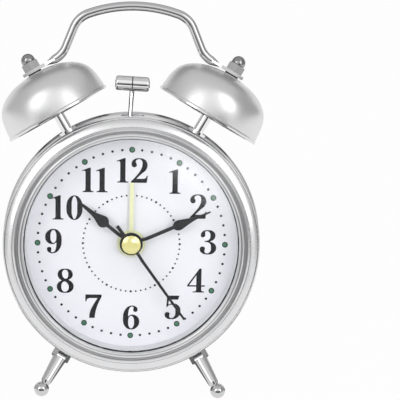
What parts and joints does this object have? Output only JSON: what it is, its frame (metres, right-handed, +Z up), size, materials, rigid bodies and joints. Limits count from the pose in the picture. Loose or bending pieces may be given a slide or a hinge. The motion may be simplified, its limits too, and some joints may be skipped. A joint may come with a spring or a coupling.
{
  "type": "twin-bell alarm clock",
  "caption": "Bell alarm clock with a leaning round metal case, white dial, wire handle, hammer between domed bells, splayed ball feet and a black back with knobs, switch and battery door.",
  "frame": {"origin": "centre of the clock's outline on the table it stands on", "axes": "+Z up, -Y towards the viewer who reads the dial, +X to that viewer's right"},
  "size_m": [0.1114, 0.074, 0.1554],
  "materials": {
    "case_silver": "satin silver paint",
    "chrome": "polished chrome",
    "steel": "plain zinc-plated steel",
    "clear_lens": "clear",
    "lamp_clear": "clear moulding",
    "gasket_rubber": "matt black",
    "dial_white": "printed white card",
    "ring_grey": "silver-grey moulding",
    "frame_white": "natural white moulding",
    "wheel_nylon": "natural nylon",
    "board_green": "circuit board",
    "switch_black": "black moulding",
    "coil_copper": "enamelled copper winding",
    "cover_black": "satin black moulding",
    "knob_black": "gloss black moulding",
    "button_white": "white moulding",
    "cell_jacket": "plain dark jacket",
    "hand_black": "black enamel",
    "hand_lime": "pale yellow-green enamel",
    "cap_gold": "polished gold"
  },
  "bodies": {
    "case": {"acorn_nuts": "chrome", "alarm_switch_body": "switch_black", "back_cover": "cover_black", "battery": "cell_jacket", "battery_contact_negative": "steel", "battery_contact_positive": "steel", "bell_left": "case_silver", "bell_post_left": "chrome", "bell_post_right": "chrome", "bell_right": "case_silver", "bell_washers": "chrome", "bezel_ring": "case_silver", "button_board": "board_green", "case_drum": "case_silver", "case_pillars": "frame_white", "circuit_board": "board_green", "cover_screws": "steel", "dial": "dial_white", "dial_lamp": "lamp_clear", "dial_plate": "frame_white", "dial_ring": "ring_grey", "foot_left": "chrome", "foot_right": "chrome", "hammer_pivot_pin": "steel", "handle": "chrome", "lens": "clear_lens", "lens_gasket": "gasket_rubber", "light_switch": "switch_black", "movement_back_plate": "frame_white", "movement_front_plate": "frame_white", "movement_pillars": "frame_white", "post_nuts": "steel", "quartz_crystal": "steel", "stepper_coil": "coil_copper", "stepper_stator": "steel", "striker_bracket": "steel", "striker_coil": "coil_copper", "striker_core": "steel"},
    "second_hand": {"second_hand": "hand_black", "second_wheel": "wheel_nylon", "hand_cap": "cap_gold"},
    "minute_hand": {"minute_hand": "hand_black", "cannon_pinion": "wheel_nylon"},
    "hour_hand": {"hour_hand": "hand_black", "hour_wheel": "wheel_nylon"},
    "alarm_hand": {"alarm_hand": "hand_lime", "alarm_wheel": "wheel_nylon"},
    "third_wheel": {"third_wheel": "wheel_nylon"},
    "centre_wheel": {"centre_wheel": "wheel_nylon"},
    "intermediate_wheel": {"intermediate_wheel": "wheel_nylon"},
    "rotor": {"rotor": "wheel_nylon"},
    "motion_wheel": {"motion_wheel": "wheel_nylon"},
    "time_knob": {"time_knob": "knob_black"},
    "alarm_knob": {"alarm_knob": "knob_black"},
    "light_button": {"light_button": "button_white"},
    "alarm_switch": {"alarm_switch_slider": "cover_black"},
    "battery_door": {"battery_door": "cover_black"},
    "hammer": {"hammer_arm": "chrome", "hammer_head": "chrome"}
  },
  "joints": [
    {"name": "second_spin", "type": "hinge", "parent": "case", "child": "second_hand", "pos_m": [0, -0.00692, 0.0589], "axis": [0, -0.9614, 0.275], "continuous": true},
    {"name": "minute_spin", "type": "hinge", "parent": "case", "child": "minute_hand", "pos_m": [0, -0.00692, 0.0589], "axis": [0, -0.9614, 0.275], "continuous": true},
    {"name": "hour_spin", "type": "hinge", "parent": "case", "child": "hour_hand", "pos_m": [0, -0.00692, 0.0589], "axis": [0, -0.9614, 0.275], "continuous": true},
    {"name": "alarm_spin", "type": "hinge", "parent": "case", "child": "alarm_hand", "pos_m": [0, -0.00692, 0.0589], "axis": [0, -0.9614, 0.275], "continuous": true},
    {"name": "third_spin", "type": "hinge", "parent": "case", "child": "third_wheel", "pos_m": [0.00148, -0.00462, 0.06694], "axis": [0, -0.9614, 0.275], "continuous": true},
    {"name": "centre_spin", "type": "hinge", "parent": "case", "child": "centre_wheel", "pos_m": [0, -0.00692, 0.0589], "axis": [0, -0.9614, 0.275], "continuous": true},
    {"name": "intermediate_spin", "type": "hinge", "parent": "case", "child": "intermediate_wheel", "pos_m": [-0.0059, -0.00805, 0.05492], "axis": [0, -0.9614, 0.275], "continuous": true},
    {"name": "rotor_spin", "type": "hinge", "parent": "case", "child": "rotor", "pos_m": [-0.0129, -0.00805, 0.05492], "axis": [0, -0.9614, 0.275], "continuous": true},
    {"name": "motion_spin", "type": "hinge", "parent": "case", "child": "motion_wheel", "pos_m": [0.00986, -0.00638, 0.06077], "axis": [0, -0.9614, 0.275], "continuous": true},
    {"name": "time_knob_turn", "type": "hinge", "parent": "case", "child": "time_knob", "pos_m": [0.02218, -0.00571, 0.06312], "axis": [0, -0.9614, 0.275], "continuous": true},
    {"name": "alarm_knob_turn", "type": "hinge", "parent": "case", "child": "alarm_knob", "pos_m": [-0.0112, -0.00494, 0.06581], "axis": [0, -0.9614, 0.275], "continuous": true},
    {"name": "light_button_press", "type": "slide", "parent": "case", "child": "light_button", "axis": [0, -0.9614, 0.275], "range_m": [0, 0.0012], "stiffness_N_per_m": 500},
    {"name": "alarm_switch_slide", "type": "slide", "parent": "case", "child": "alarm_switch", "axis": [0, 0.275, 0.9614], "range_m": [0, 0.003]},
    {"name": "battery_door_open", "type": "hinge", "parent": "case", "child": "battery_door", "pos_m": [0, 0.0201, 0.04025], "axis": [1, 0, 0], "range_deg": [0, 70]},
    {"name": "hammer_swing", "type": "hinge", "parent": "case", "child": "hammer", "pos_m": [-0.0025, 0.00216, 0.09062], "axis": [0, -0.9614, 0.275], "range_deg": [-5.8, 5], "stiffness_Nm_per_rad": 0.02}
  ],
  "couplings": [
    {"joint": "third_spin", "follows": "second_spin", "ratio": -0.13333},
    {"joint": "centre_spin", "follows": "second_spin", "ratio": 0.016667},
    {"joint": "intermediate_spin", "follows": "second_spin", "ratio": -5},
    {"joint": "rotor_spin", "follows": "second_spin", "ratio": 30},
    {"joint": "motion_spin", "follows": "minute_spin", "ratio": -0.33333},
    {"joint": "hour_spin", "follows": "minute_spin", "ratio": 0.083333},
    {"joint": "time_knob_turn", "follows": "minute_spin", "ratio": 0.5},
    {"joint": "alarm_knob_turn", "follows": "alarm_spin", "ratio": -2.1429}
  ]
}
